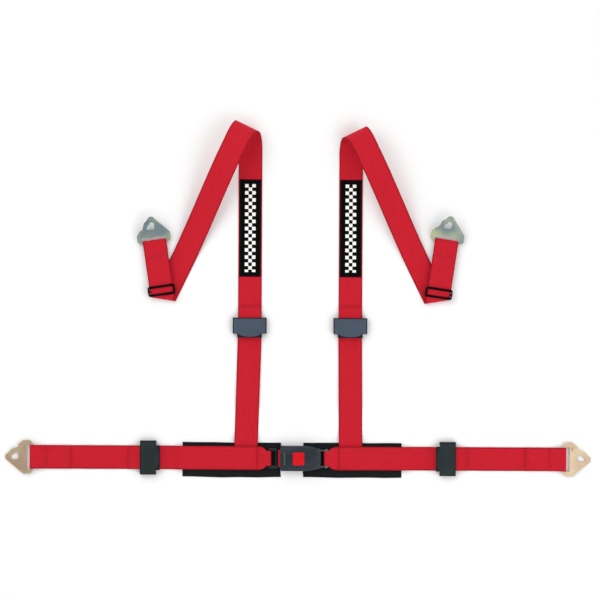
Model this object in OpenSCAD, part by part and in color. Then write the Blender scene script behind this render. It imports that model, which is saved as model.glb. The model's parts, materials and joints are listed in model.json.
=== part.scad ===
// Four-point racing harness, laid flat: lap belt along X, shoulder straps along +Y, +Z up.
// Each side is drawn for +X and mirrored for -X. Millimetres.

/* [Webbing] */
// Width of the webbing
web_w = 50; // [44:0.5:54]
// Thickness of the webbing
web_t = 1.5; // [1.2:0.1:1.8]
// Gap left between two layers of webbing
layer_gap = 0.1; // [0.05:0.05:0.3]
// Gap between webbing and the bar it wraps
bar_gap = 0.3; // [0.2:0.05:0.6]
// Width of the folded webbing at the buckle and tongue
loop_w = 31; // [26:1:36]

/* [Layout] */
// Distance of the lap belt below the middle of the harness
lap_drop = 336; // [300:1:380]
// Distance of the left shoulder strap from the middle
shoulder_left_x = 104; // [100:1:120]
// Distance of the right shoulder strap from the middle
shoulder_right_x = 110; // [100:1:120]
// Distance that the left shoulder strap leans outwards on its way down to the belt
lean_left = 7.5; // [0:0.5:10]
// Distance that the right shoulder strap leans outwards on its way down to the belt
lean_right = 2; // [0:0.5:10]
// Distance of each lap adjuster from the middle
lap_adjuster_x = 318.5; // [300:0.5:360]
// Distance of each lap hook's webbing bar from the middle
lap_hook_x = 566; // [540:1:640]
// Distance of each shoulder adjuster below the middle
shoulder_adjuster_drop = 54.5; // [30:0.5:120]
// Height up the harness at which the left shoulder strap lifts into its upper fold
fold_left_y = 329.5; // [310:0.5:400]
// Height up the harness at which the right shoulder strap lifts into its upper fold
fold_right_y = 317.5; // [310:0.5:400]
// Angle of the left diagonal run below horizontal
diagonal_left_deg = 64.3; // [60:0.1:70]
// Angle of the right diagonal run below horizontal
diagonal_right_deg = 63.8; // [60:0.1:70]
// Angle of the short end run above horizontal
end_run_deg = 81.5; // [76:0.5:86]
// Length of the left diagonal run after it has come down to the floor
diagonal_left_flat = 66.5; // [50:1:120]
// Length of the right diagonal run after it has come down to the floor
diagonal_right_flat = 58; // [50:1:120]
// Length of the left end run, from the lower fold to the hook bar
end_run_left = 116; // [100:1:160]
// Length of the right end run, from the lower fold to the hook bar
end_run_right = 123; // [100:1:160]
// Half depth of the upper fold
fold_depth = 36; // [26:1:44]
// Half height of the upper fold
fold_rise = 26; // [16:1:32]
// Length of the loose webbing beyond each adjuster
tail = 120; // [110:1:130]

/* [Lap pads] */
// Length of a lap pad
pad_l = 211; // [195:1:240]
// Height of a lap pad across the belt
pad_w = 76; // [70:1:90]
// Thickness of a lap pad
pad_t = 4; // [3:0.5:6]
// Middle of the left lap pad from the middle of the harness
pad_left_x = 141; // [138:1:150]
// Middle of the right lap pad from the middle of the harness
pad_right_x = 116; // [112:1:125]

/* [Shoulder patch] */
// Length of a patch
patch_l = 207; // [150:1:215]
// Width of a patch
patch_w = 46; // [36:1:48]
// Thickness of a patch
patch_t = 0.7; // [0.5:0.1:1]
// Height of a patch's middle up the harness
patch_y = 153; // [145:1:165]

/* [Adjusters] */
// Size of the cover along the webbing
cover_l = 34; // [33:1:40]
// Size of the cover across the webbing
cover_w = 72; // [70:1:80]
// Height of the cover
cover_h = 12.8; // [12.8:0.1:15]
// Wall of the cover
cover_wall = 1.9; // [1.5:0.1:2]
// Length of the lift tab
tab_l = 8.5; // [6:0.5:12]
// Radius of the fixed bar
fixed_r = 2.5; // [2:0.1:2.8]
// Radius of the knurled lock bar
lock_r = 3.3; // [2.8:0.1:3.5]
// Thickness of the frame's cheeks
cheek_t = 2.5; // [2:0.1:3]

/* [Hooks] */
// Thickness of the hook plate
hook_t = 3; // [2.5:0.1:3.4]
// Length of the hook from its webbing bar to its nose
hook_l = 57; // [54:1:62]
// Width of the hook
hook_w = 71; // [69:1:76]
// Width of the hook's webbing bar
hook_bar = 5; // [4:0.1:5.4]
// Radius of the eye's round ends
eye_r = 5; // [4.5:0.25:6.5]
// Radius of the gate rivet
gate_rivet_r = 2.5; // [2:0.1:3]
// Angle that the shoulder hooks stand up from their webbing
hook_lift_deg = 22; // [10:1:30]
// Angle that the lap hooks lean down to the floor
hook_sag_deg = 3.2; // [0:0.1:3.2]

/* [Slides] */
// Length of a three-bar slide along the webbing
slide_l = 22; // [20:1:30]
// Width of a three-bar slide's side rails
slide_rail = 3; // [2:0.5:4]
// Radius of a three-bar slide's corners
slide_corner = 5; // [2:0.5:6]

/* [Buckle] */
// Middle of the housing from the middle of the harness
buckle_x = 5.6; // [5:0.1:6]
// Length of the housing
buckle_l = 87; // [86:1:105]
// Width of the housing at the mouth
buckle_w = 53; // [52:1:60]
// Height of the housing
buckle_h = 20; // [19:0.5:22]
// Thickness of the tongue
tongue_t = 2.5; // [2:0.1:2.8]
// Width of the tongue's blade
blade_w = 30; // [28:1:31]
// Width of the tongue at its webbing slot
tongue_w = 41; // [39:1:44]
// Length of the tongue's webbing slot
tongue_slot = 12; // [8:0.5:12.5]
// Distance of the tongue's webbing bar from the middle
tongue_bar_x = 61.5; // [61:0.5:64]
// Distance of the buckle's webbing bar behind the housing
anchor_reach = 10.9; // [10.9:0.1:13]
// Radius of the buckle's webbing bar
anchor_r = 3; // [2.5:0.1:3.2]
// Size of the push button along the belt
button_l = 24.5; // [20:0.5:26]
// Size of the push button across the belt
button_w = 27; // [20:0.5:28]
// Radius of the push button's corners
button_corner = 3; // [1:0.5:5]

/* [Hidden] */
$fn = 48;

pitch = web_t + layer_gap;
anchor_x = buckle_x + buckle_l / 2 + anchor_reach;
floor_z = web_t / 2 + 0.05;
function layer_z(k) = pad_t + 0.05 + web_t / 2 + pitch * k;
lap_y = -lap_drop;

// Where the adjusters' bars sit, measured from the cover's middle towards the hook
fixed_at = cover_l / 2 - 3;
lock_at = -(cover_l / 2 - 8);
fixed_loop_r = fixed_r + bar_gap + web_t / 2;
lock_loop_r = lock_r + bar_gap + web_t / 2;
fixed_z = floor_z + fixed_loop_r;
lock_z = floor_z + lock_loop_r;
lock_clear = 0.05;
cheek_in = web_w / 2 + 1.3;
hook_loop_r = sqrt(pow(hook_bar / 2, 2) + pow(hook_t / 2, 2)) + bar_gap + web_t / 2;
lap_fixed_x = lap_adjuster_x + fixed_at;
lap_lock_x = lap_adjuster_x + lock_at;
shoulder_adjuster_y = -shoulder_adjuster_drop;
shoulder_fixed_y = shoulder_adjuster_y + fixed_at;
shoulder_lock_y = shoulder_adjuster_y + lock_at;
lap_hook_z = floor_z + hook_loop_r;

// Shoulder straps by side: distance out, lean, fold height, diagonal angle and flat length, end run
function shoulder_x(side) = side == "left" ? shoulder_left_x : shoulder_right_x;
function lean(side) = side == "left" ? lean_left : lean_right;
function fold_y(side) = side == "left" ? fold_left_y : fold_right_y;
function diagonal_deg(side) = side == "left" ? diagonal_left_deg : diagonal_right_deg;
function end_run(side) = side == "left" ? end_run_left : end_run_right;
function diagonal_flat(side) = side == "left" ? diagonal_left_flat : diagonal_right_flat;

// Shoulder strap at its lower fold and its end run
end_main_z = 9.75;
end_tail_z = end_main_z - pitch;
fold2_rise = (end_main_z - floor_z) / 2;
fold2_depth = 6;
shoulder_hook_z = end_main_z - hook_loop_r;
slide_at = 12;

// Buckle levels
buckle_z = pad_t + 0.6;
belt_z = buckle_z + 6.9;
tongue_loop_r = sqrt(pow(hook_bar / 2, 2) + pow(tongue_t / 2, 2)) + bar_gap + web_t / 2;
anchor_loop_r = anchor_r + bar_gap + web_t / 2;
shell_wall = 2;
plate_z = buckle_z + 1.4;
plate_t = 2.5;
leaf_z = plate_z + plate_t + 0.1;
leaf_t = 0.8;
blade_nose_x = -6;
belt_end_x = 87;
ear_reach = 5.4;
loop_start_x = 128;

function unit(v) = v / norm(v);
function heading(a) = [cos(a), sin(a), 0];
function last(list) = list[len(list) - 1];
// Points on a circle of radius r about c, from angle a0 to a1, in a side view
function arc(c, r, a0, a1, n = 12) =
    [for (i = [0:n]) c + r * [cos(a0 + (a1 - a0) * i / n), sin(a0 + (a1 - a0) * i / n)]];
// Distance along a side view up to each of its points
function reach(p) = [for (i = 0, s = 0; i < len(p);
    s = s + (i + 1 < len(p) ? norm(p[i + 1] - p[i]) : 0), i = i + 1) s];

// A ring is [middle of the webbing, half its width as a vector]
function along_x(side_view, y, w = web_w) = [for (p = side_view) [[p[0], y, p[1]], [0, w / 2, 0]]];
function along_y(side_view, x) = [for (p = side_view) [[x, p[0], p[1]], [web_w / 2, 0, 0]]];

// Webbing that folds back round an axis half way between its two headings: it keeps its length.
// The side view runs outwards from the start and back.
function fold(start, in_deg, out_deg, side_view) =
    let (axis_deg = (in_deg + out_deg) / 2,
         f = heading(axis_deg),
         n = [-f[1], f[0], 0] * sign(sin(in_deg)),
         u = heading(in_deg),
         slant = (u * f) / (u * n),
         half = web_w / 2 / (u * n),
         s = reach(side_view))
    [for (i = [0:len(side_view) - 1])
        [[start[0], start[1], 0] + f * s[i] * slant + n * side_view[i][0] + [0, 0, side_view[i][1]], f * half]];

module webbing(rings) {
    m = len(rings);
    points = [for (i = [0:m - 1])
        let (c = rings[i][0], h = rings[i][1],
             t = unit(rings[min(i + 1, m - 1)][0] - rings[max(i - 1, 0)][0]),
             up = unit(cross(h, t)) * web_t / 2)
        each [c - h + up, c + h + up, c + h - up, c - h - up]];
    sides = [for (i = [0:m - 2], j = [0:3])
        [4 * i + j, 4 * i + (j + 1) % 4, 4 * i + 4 + (j + 1) % 4, 4 * i + 4 + j]];
    polyhedron(points, concat(sides, [[3, 2, 1, 0], [4 * m - 4, 4 * m - 3, 4 * m - 2, 4 * m - 1]]), 4);
}

module on_side(side) {
    if (side == "left") mirror([1, 0, 0]) children();
    else children();
}

// A flat rectangle with round corners, centred on the origin
module rounded_plate(l, w, r) {
    square([l - 2 * r, w], center = true);
    square([l, w - 2 * r], center = true);
    for (i = [-1, 1], j = [-1, 1]) translate([i * (l / 2 - r), j * (w / 2 - r)]) circle(r);
}

// ---------- Webbing ----------

// Inner lap webbing: loose tail, round the lock bar, then over the pad to the middle
function lap_inner_view(pad_out) =
    let (tail_end = lap_lock_x - tail, lock = [lap_lock_x, lock_z])
    concat([[tail_end, layer_z(0)], [pad_out, layer_z(0)], [pad_out + 14, floor_z]],
           arc(lock, lock_loop_r, -90, 90),
           [[lap_lock_x - 24, floor_z + pitch], [pad_out + 14, floor_z + pitch + 0.1],
            [pad_out, layer_z(1) + 0.1], [150, layer_z(1) + 0.1], [130, layer_z(3)],
            [belt_end_x, layer_z(3)]]);

module lap_webbing_inner(side) {
    pad_out = (side == "left" ? pad_left_x : pad_right_x) + pad_l / 2 + 3;
    color("firebrick") on_side(side) webbing(along_x(lap_inner_view(pad_out), lap_y));
}

// Outer lap webbing: stitched loop on the fixed bar, floor run, stitched loop on the hook
lap_outer_view = concat(
    [[lap_fixed_x + 29, floor_z + pitch], [lap_fixed_x + 23, floor_z + pitch]],
    arc([lap_fixed_x, fixed_z], fixed_loop_r, 90, 270),
    [[lap_fixed_x + 24, floor_z], [lap_hook_x - 24, floor_z]],
    arc([lap_hook_x, lap_hook_z], hook_loop_r, -90, 90),
    [[lap_hook_x - 26, floor_z + pitch], [lap_hook_x - 83, floor_z + pitch]]);

module lap_webbing_outer(side) {
    color("firebrick") on_side(side) webbing(along_x(lap_outer_view, lap_y));
}

// Folded webbing that narrows to pass between the ears of the tongue or the buckle, and stays narrow there
function belt_loop_half(bar_x, bar_z, r, above) =
    let (k = above ? 2 : 1, z1 = bar_z + (above ? r : -r), wide_x = belt_end_x - 2,
         steps = [for (i = [0:6]) [wide_x + (bar_x + ear_reach - wide_x) * i / 6, cos(15 * i)]])
    concat([[[loop_start_x, lap_y, layer_z(k)], [0, web_w / 2, 0]]],
           [for (p = concat(steps, [[bar_x, 0]])) let (t = (wide_x - p[0]) / (wide_x - bar_x))
               [[p[0], lap_y, layer_z(k) + (z1 - layer_z(k)) * t],
                [0, (loop_w + (web_w - loop_w) * pow(max(0, p[1]), 0.65)) / 2, 0]]]);

module belt_loop(side) {
    bar_x = side == "left" ? tongue_bar_x : anchor_x;
    r = side == "left" ? tongue_loop_r : anchor_loop_r;
    upper = belt_loop_half(bar_x, belt_z, r, true);
    lower = belt_loop_half(bar_x, belt_z, r, false);
    turn = [for (i = [1:9]) let (a = 90 + 18 * i)
        [[bar_x + r * cos(a), lap_y, belt_z + r * sin(a)], [0, loop_w / 2, 0]]];
    color("firebrick") on_side(side)
        webbing(concat(upper, turn, [for (i = [len(lower) - 1:-1:0]) lower[i]]));
}

// Lower shoulder webbing: sewn under the lap belt, up to the lock bar and back as a loose tail
shoulder_lower_view = let (pad_top_y = lap_y + pad_w / 2 - 4)
    concat([[lap_y - web_w / 2 + 2, layer_z(0)], [pad_top_y + 6, layer_z(0)], [pad_top_y + 20, floor_z],
            [shoulder_lock_y - tail - 48, floor_z], [shoulder_lock_y - tail - 36, floor_z + pitch],
            [shoulder_lock_y - 24, floor_z + pitch]],
           arc([shoulder_lock_y, lock_z], lock_loop_r, 90, -90),
           [[shoulder_lock_y - tail - 28, floor_z]]);

// The lean is a skew, so the rings stay square to the lock bar
module shoulder_webbing_lower(side) {
    top = shoulder_lock_y - 24;
    color("firebrick") on_side(side) webbing([for (ring = along_y(shoulder_lower_view, shoulder_x(side)))
        [ring[0] + [lean(side) * max(0, top - ring[0][1]) / (top - lap_y), 0, 0], ring[1]]]);
}

// Upper shoulder webbing: loop on the fixed bar, upper fold, diagonal, lower fold, hook loop and tail
fold1_view = concat(
    [for (i = [0:12]) [fold_depth * cos(-90 + 15 * i), floor_z + fold_rise * (1 + sin(-90 + 15 * i))]],
    [for (i = [1:10]) [-29 * i, floor_z + fold_rise * (1 + cos(18 * i))]]);
function fold1(side) = fold([shoulder_x(side), fold_y(side)], 90, -diagonal_deg(side), fold1_view);
fold2_view = [for (i = [0:10]) [fold2_depth * cos(-90 + 18 * i), floor_z + fold2_rise * (1 + sin(-90 + 18 * i))]];
function fold2(side) = fold(last(fold1(side))[0] + heading(-diagonal_deg(side)) * diagonal_flat(side),
                            -diagonal_deg(side), end_run_deg, fold2_view);
function end_start(side) = let (p = last(fold2(side))[0]) [p[0], p[1], 0];
end_dir = heading(end_run_deg);
end_half = [end_dir[1], -end_dir[0], 0] * web_w / 2;
function end_view(side) = concat([[10, end_main_z]],
    arc([end_run(side), shoulder_hook_z], hook_loop_r, 90, -90),
    [[end_run(side) - 30, end_tail_z], [2, end_tail_z]]);
function hook_foot(side) = end_start(side) + end_dir * end_run(side);

module shoulder_webbing_upper(side) {
    start = along_y(concat(
        [[shoulder_fixed_y + 29, floor_z + pitch], [shoulder_fixed_y + 23, floor_z + pitch]],
        arc([shoulder_fixed_y, fixed_z], fixed_loop_r, 90, 270),
        [[shoulder_fixed_y + 24, floor_z], [fold_y(side) - 20, floor_z]]), shoulder_x(side));
    end = [for (p = end_view(side)) [end_start(side) + end_dir * p[0] + [0, 0, p[1]], end_half]];
    color("firebrick") on_side(side) webbing(concat(start, fold1(side), fold2(side), end));
}

module shoulder_patch(side) {
    color([0.06, 0.06, 0.07]) on_side(side)
        translate([shoulder_x(side) - patch_w / 2, patch_y - patch_l / 2, floor_z + web_t / 2 + 0.05])
            cube([patch_w, patch_l, patch_t]);
}

module lap_pad(side) {
    x = side == "left" ? pad_left_x : pad_right_x;
    color([0.08, 0.08, 0.09]) on_side(side) translate([x, lap_y - 4, 0])
        linear_extrude(pad_t) rounded_plate(pad_l, pad_w, 3);
}

// ---------- Adjusters: drawn with the hook end of the webbing towards +X ----------

module at_lap_adjuster(side) {
    on_side(side) translate([lap_adjuster_x, lap_y, 0]) children();
}

module at_shoulder_adjuster(side) {
    on_side(side) translate([shoulder_x(side), shoulder_adjuster_y, 0]) rotate([0, 0, 90]) children();
}

module bar_y(x, z, r, l) {
    translate([x, l / 2, z]) rotate([90, 0, 0]) cylinder(h = l, r = r);
}

module adjuster_frame() {
    cheek_h = cover_h - cover_wall - 1.5;
    color([0.35, 0.37, 0.4]) union() {
        for (j = [-1, 1]) difference() {
            translate([-cover_l / 2 + 2.5, j > 0 ? cheek_in : -cheek_in - cheek_t, 1])
                cube([cover_l - 3, cheek_t, cheek_h]);
            bar_y(lock_at, lock_z, lock_r + lock_clear, web_w * 2);
        }
        bar_y(fixed_at, fixed_z, fixed_r, 2 * cheek_in + cheek_t);
        translate([1, -cheek_in - 0.5, fixed_z - 1.5]) cube([5, 2 * cheek_in + 1, 3]);
    }
}

module adjuster_cover() {
    inner_w = 2 * (cheek_in + cheek_t + 0.4);
    crown_r = 400;
    color([0.28, 0.33, 0.38]) union() {
        difference() {
            intersection() {
                translate([-cover_l / 2, -cover_w / 2, 0.6]) cube([cover_l, cover_w, cover_h]);
                translate([-cover_l, 0, cover_h - crown_r]) rotate([0, 90, 0])
                    cylinder(h = 2 * cover_l, r = crown_r, $fn = 200);
            }
            translate([-cover_l, -inner_w / 2, -1]) cube([2 * cover_l, inner_w, cover_h - cover_wall + 1]);
        }
        // Lift tab
        translate([-cover_l / 2 - tab_l, -cheek_in, cover_h - cover_wall - 0.7]) cube([tab_l + 1, 2 * cheek_in, 1.7]);
    }
}

module lock_bar() {
    grooves = 12;
    color([0.6, 0.6, 0.62]) difference() {
        bar_y(lock_at, lock_z, lock_r, 2 * (cheek_in + cheek_t));
        for (a = [0:360 / grooves:359])
            translate([lock_at + (lock_r + 0.15) * cos(a), 0, lock_z + (lock_r + 0.15) * sin(a)])
                rotate([0, -a, 0]) cube([0.8, 2 * cheek_in - 2, 0.6], center = true);
    }
}

module lap_adjuster_frame(side) { at_lap_adjuster(side) adjuster_frame(); }
module lap_adjuster_cover(side) { at_lap_adjuster(side) adjuster_cover(); }
module lap_lock_bar(side) { at_lap_adjuster(side) lock_bar(); }
module shoulder_adjuster_frame(side) { at_shoulder_adjuster(side) adjuster_frame(); }
module shoulder_adjuster_cover(side) { at_shoulder_adjuster(side) adjuster_cover(); }
module shoulder_lock_bar(side) { at_shoulder_adjuster(side) lock_bar(); }

// ---------- Snap hooks: webbing bar on the origin, nose towards +X, gate on the +Y flank ----------

gate_pivot = [21, 21];
gate_gap = 0.2;
gate_leaf_t = 1.2;
gate_run_deg = -23;
gate_l = 27;
mouth_x = 29;
mouth_w = 10.5;
eye_x = 33;
eye_l = 7;

module at_lap_hook(side) {
    on_side(side) translate([lap_hook_x, lap_y, lap_hook_z]) rotate([0, hook_sag_deg, 0]) children();
}

module at_shoulder_hook(side) {
    on_side(side) translate(hook_foot(side) + [0, 0, shoulder_hook_z]) rotate([0, 0, end_run_deg])
        rotate([0, -hook_lift_deg, 0]) mirror([0, side == "left" ? 1 : 0, 0]) children();
}

module hook_plate() {
    bar = hook_bar / 2;
    r = 4;
    half = hook_w / 2 - r;
    lobe_x = 17;
    difference() {
        translate([0, 0, -hook_t / 2]) linear_extrude(hook_t) offset(r = r) polygon([
            [-bar + r, -half + 5], [5, -half], [lobe_x, -half], [hook_l - 9, -6], [hook_l - r, -2],
            [hook_l - r, 2], [hook_l - 9, 6], [lobe_x, half], [5, half], [-bar + r, half - 5]]);
        translate([bar, -web_w / 2 - 1, -hook_t]) cube([9, web_w + 2, 2 * hook_t]);
        for (x = [eye_x, eye_x + eye_l]) translate([x, 0, -hook_t]) cylinder(h = 2 * hook_t, r = eye_r);
        translate([eye_x, -eye_r, -hook_t]) cube([eye_l, 2 * eye_r, 2 * hook_t]);
        translate([mouth_x, 0, -hook_t]) cube([mouth_w, hook_w, 2 * hook_t]);
        translate([gate_pivot[0], gate_pivot[1], -hook_t]) cylinder(h = 2 * hook_t, r = gate_rivet_r + 0.05);
    }
}

module hook_gate() {
    leaf_w = 9;
    translate([gate_pivot[0], gate_pivot[1], 0]) rotate([0, 0, gate_run_deg]) difference() {
        union() {
            for (z = [hook_t / 2 + gate_gap, -hook_t / 2 - gate_gap - gate_leaf_t]) translate([0, 0, z]) {
                cylinder(h = gate_leaf_t, r = leaf_w / 2);
                translate([0, -leaf_w / 2, 0]) cube([gate_l - leaf_w / 2, leaf_w, gate_leaf_t]);
                translate([gate_l - leaf_w / 2, 0, 0]) cylinder(h = gate_leaf_t, r = leaf_w / 2);
            }
            translate([10, leaf_w / 2 - 2, -hook_t / 2 - gate_gap])
                cube([5.5, 2, hook_t + 2 * gate_gap]);
        }
        translate([0, 0, -hook_t * 2]) cylinder(h = hook_t * 4, r = gate_rivet_r + 0.05);
    }
}

module hook_rivet() {
    top = hook_t / 2 + gate_gap + gate_leaf_t + 0.1;
    translate([gate_pivot[0], gate_pivot[1], 0]) union() {
        translate([0, 0, -top]) cylinder(h = 2 * top, r = gate_rivet_r);
        translate([0, 0, top]) cylinder(h = 1, r = gate_rivet_r + 1.5);
        translate([0, 0, -top - 1]) cylinder(h = 1, r = gate_rivet_r + 1.5);
    }
}

module lap_hook_plate(side) { color([0.77, 0.65, 0.45]) at_lap_hook(side) hook_plate(); }
module lap_hook_gate(side) { color([0.7, 0.6, 0.42]) at_lap_hook(side) hook_gate(); }
module lap_hook_rivet(side) { color([0.6, 0.5, 0.35]) at_lap_hook(side) hook_rivet(); }
module shoulder_hook_plate(side) { color([0.56, 0.61, 0.55]) at_shoulder_hook(side) hook_plate(); }
module shoulder_hook_gate(side) { color([0.4, 0.5, 0.5]) at_shoulder_hook(side) hook_gate(); }
module shoulder_hook_rivet(side) { color([0.5, 0.5, 0.5]) at_shoulder_hook(side) hook_rivet(); }

// ---------- Three-bar slide: two outer bars over the webbing, the middle one under it ----------

module three_bar_slide(side) {
    half_w = web_w / 2 + 1 + slide_rail;
    low = end_tail_z - web_t / 2 - 0.2 - 2;
    high = end_main_z + web_t / 2 + 0.3;
    bar = 5;
    bar_t = 2;
    color([0.1, 0.1, 0.11]) on_side(side) translate(end_start(side) + end_dir * slide_at)
        rotate([0, 0, end_run_deg]) difference() {
            translate([0, 0, low]) linear_extrude(high + bar_t - low) rounded_plate(slide_l, 2 * half_w, slide_corner);
            // Hollow between the rails: the outer bars stay above it and the middle bar below it
            for (x = [-slide_l, bar / 2]) translate([x, slide_rail - half_w, low - 1])
                cube([slide_l - bar / 2 * (x < 0 ? 1 : 0), 2 * (half_w - slide_rail), high - low + 1]);
            translate([-bar / 2 - 1, slide_rail - half_w, low + bar_t])
                cube([bar + 2, 2 * (half_w - slide_rail), high]);
            for (x = [-slide_l / 2 + bar, bar / 2]) translate([x, slide_rail - half_w, high - 1])
                cube([slide_l / 2 - 3 * bar / 2, 2 * (half_w - slide_rail), bar_t + 2]);
        }
}

// ---------- Buckle: mouth towards -X ----------

front_x = buckle_x - buckle_l / 2;
rear_x = buckle_x + buckle_l / 2;
rear_w = 40;
shell_split = belt_z;

module shell_outline(inset = 0) {
    polygon([[front_x + inset + 3, -buckle_w / 2 + inset], [22, -buckle_w / 2 + inset],
             [rear_x - inset, -rear_w / 2 + inset], [rear_x - inset, rear_w / 2 - inset],
             [22, buckle_w / 2 - inset], [front_x + inset + 3, buckle_w / 2 - inset],
             [front_x + inset, buckle_w / 2 - 3 - inset], [front_x + inset, -buckle_w / 2 + 3 + inset]]);
}

insert_depth = shell_wall + 1;
screw_r = 1.5;
screw_places = [for (x = [-27, 15], j = [-1, 1]) [x, j * (buckle_w / 2 - shell_wall - 2.9)]];

module openings_cut() {
    // Mouth, with the insert's seat, and the rear gap for the webbing
    translate([front_x - 1, -18.1, belt_z - 3.7]) cube([shell_wall + 4, 36.2, 7.4]);
    translate([rear_x - 6, -rear_w / 2 + shell_wall - 0.2, plate_z - 0.1]) cube([8, rear_w - 2 * shell_wall + 0.4, 10.6]);
}

module buckle_lower_shell() {
    color([0.13, 0.15, 0.17]) translate([0, lap_y, 0]) difference() {
        union() {
            difference() {
                translate([0, 0, buckle_z]) linear_extrude(shell_split - buckle_z - 0.05) shell_outline();
                translate([0, 0, plate_z - 0.1]) linear_extrude(buckle_h) shell_outline(shell_wall);
                openings_cut();
            }
            for (p = screw_places) translate([p[0], p[1], buckle_z + 0.5])
                cylinder(h = shell_split - buckle_z - 0.55, r = 2.6);
        }
        for (p = screw_places) {
            translate([p[0], p[1], buckle_z - 1]) cylinder(h = buckle_h, r = screw_r + 0.05);
            translate([p[0], p[1], buckle_z - 1]) cylinder(h = 2.6, r = 2.05);
        }
    }
}

// What lies under the cover's crowned top, or inset below it
module crowned(inset) {
    top = buckle_z + buckle_h;
    crown = 46;
    arch = 150;
    intersection() {
        children();
        translate([front_x - 5, 0, top - crown]) rotate([0, 90, 0])
            cylinder(h = buckle_l + 10, r = crown - inset, $fn = 120);
        translate([buckle_x - 6, buckle_w, top - arch]) rotate([90, 0, 0])
            cylinder(h = 2 * buckle_w, r = arch - inset, $fn = 200);
    }
}

module buckle_cover() {
    top = buckle_z + buckle_h;
    color([0.2, 0.23, 0.26]) translate([0, lap_y, 0]) difference() {
        union() {
            difference() {
                crowned(0) translate([0, 0, shell_split]) linear_extrude(buckle_h) shell_outline();
                crowned(shell_wall) translate([0, 0, shell_split - 1]) linear_extrude(buckle_h)
                    shell_outline(shell_wall);
                openings_cut();
            }
            crowned(shell_wall / 2) for (p = screw_places) translate([p[0], p[1], shell_split])
                cylinder(h = buckle_h, r = 2.6);
            // Rib behind the ejector spring
            translate([24, -6, belt_z - 1.8]) cube([2, 12, top - belt_z - 1.2]);
        }
        translate([button_x, 0, shell_split]) linear_extrude(buckle_h)
            rounded_plate(button_l + 0.8, button_w + 0.8, button_corner + 0.4);
        for (p = screw_places) translate([p[0], p[1], shell_split - 1]) cylinder(h = 7, r = screw_r);
    }
}

button_x = 1.4;

module release_button() {
    top = buckle_z + buckle_h + 0.8;
    flange = top - 5;
    color([0.8, 0.08, 0.12]) translate([button_x, lap_y, 0]) union() {
        translate([0, 0, flange - 1]) linear_extrude(top - flange + 1)
            rounded_plate(button_l, button_w, button_corner);
        translate([-button_l / 2 - 1.2, -button_w / 2 - 1.2, flange - 2]) cube([button_l + 2.4, button_w + 2.4, 1.4]);
        for (j = [-1, 1]) translate([0.5, j * 11 - 1.5, leaf_z + leaf_t + 0.1])
            cube([4, 3, flange - 1 - leaf_z - leaf_t]);
    }
}

module mouth_insert() {
    slot_t = tongue_t + 1;
    color([0.8, 0.1, 0.14]) translate([front_x - 3.7, lap_y, belt_z]) difference() {
        translate([0, -17.7, -3.5]) cube([3.7 + insert_depth, 35.4, 7]);
        translate([-1, -blade_w / 2 - 0.5, -slot_t / 2]) cube([20, blade_w + 1, slot_t]);
    }
}

module buckle_base() {
    half = rear_w / 2 - shell_wall;
    color([0.5, 0.52, 0.55]) translate([0, lap_y, 0]) difference() {
        union() {
            translate([front_x + insert_depth + 0.2, -half, plate_z])
                cube([anchor_x - 14 - front_x - insert_depth - 0.2, 2 * half, plate_t]);
            for (j = [-1, 1]) translate([rear_x - 7, j > 0 ? half - 2 : -half, plate_z])
                cube([anchor_x + ear_reach - 0.4 - rear_x + 7, 2, belt_z - plate_z + 4]);
        }
        translate([-22, -14.5, plate_z - 1]) cube([30, 29, plate_t + 2]);
        bar_y(anchor_x, belt_z, anchor_r, rear_w * 2);
        for (j = [-1, 1]) translate([31, j * 9, plate_z - 1]) cylinder(h = plate_t + 2, r = 2);
    }
}

module anchor_bar() {
    color([0.75, 0.76, 0.78]) translate([0, lap_y, 0]) bar_y(anchor_x, belt_z, anchor_r, rear_w - 2 * shell_wall + 3);
}

module latch_leaf() {
    tooth_x = -17;
    tooth_l = 3.5;
    color([0.3, 0.34, 0.42]) translate([0, lap_y, 0]) difference() {
        union() {
            translate([tooth_x, -13.5, leaf_z]) cube([36 - tooth_x, 27, leaf_t]);
            translate([tooth_x, -6, leaf_z]) cube([tooth_l, 12, belt_z - leaf_z + 0.6]);
        }
        for (j = [-1, 1]) translate([31, j * 9, leaf_z - 1]) cylinder(h = leaf_t + 2, r = 2);
    }
}

module latch_rivets() {
    color([0.6, 0.6, 0.62]) translate([0, lap_y, 0]) for (j = [-1, 1]) translate([31, j * 9, 0]) union() {
        translate([0, 0, plate_z]) cylinder(h = leaf_z + leaf_t - plate_z, r = 2);
        translate([0, 0, leaf_z + leaf_t]) cylinder(h = 0.9, r = 3.2);
    }
}

module ejector() {
    color([0.15, 0.15, 0.16]) translate([blade_nose_x + 0.3, lap_y - 8, leaf_z + leaf_t + 0.2])
        cube([7, 16, 3.4]);
}

module ejector_spring() {
    start = blade_nose_x + 7.4;
    stop = 24;
    turns = 5;
    steps = 14;
    wire = 0.4;
    path = [for (i = [0:turns * steps]) let (t = i / (turns * steps), a = 360 * i / steps)
        [start + wire + (stop - start - 2 * wire) * t, (1.6 - wire) * cos(a), (1.6 - wire) * sin(a)]];
    m = len(path);
    sides = 6;
    points = [for (i = [0:m - 1], j = [0:sides - 1])
        let (a = 360 * i / steps, r = [0, cos(a), sin(a)])
        path[i] + wire * (cos(360 * j / sides) * [1, 0, 0] + sin(360 * j / sides) * r)];
    faces = [for (i = [0:m - 2], j = [0:sides - 1])
        [i * sides + j, (i + 1) * sides + j, (i + 1) * sides + (j + 1) % sides, i * sides + (j + 1) % sides]];
    color([0.7, 0.7, 0.72]) translate([0, lap_y, leaf_z + leaf_t + 1.9])
        polyhedron(points, concat(faces, [[for (j = [0:sides - 1]) j],
            [for (j = [sides - 1:-1:0]) (m - 1) * sides + j]]), 4);
}

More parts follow.
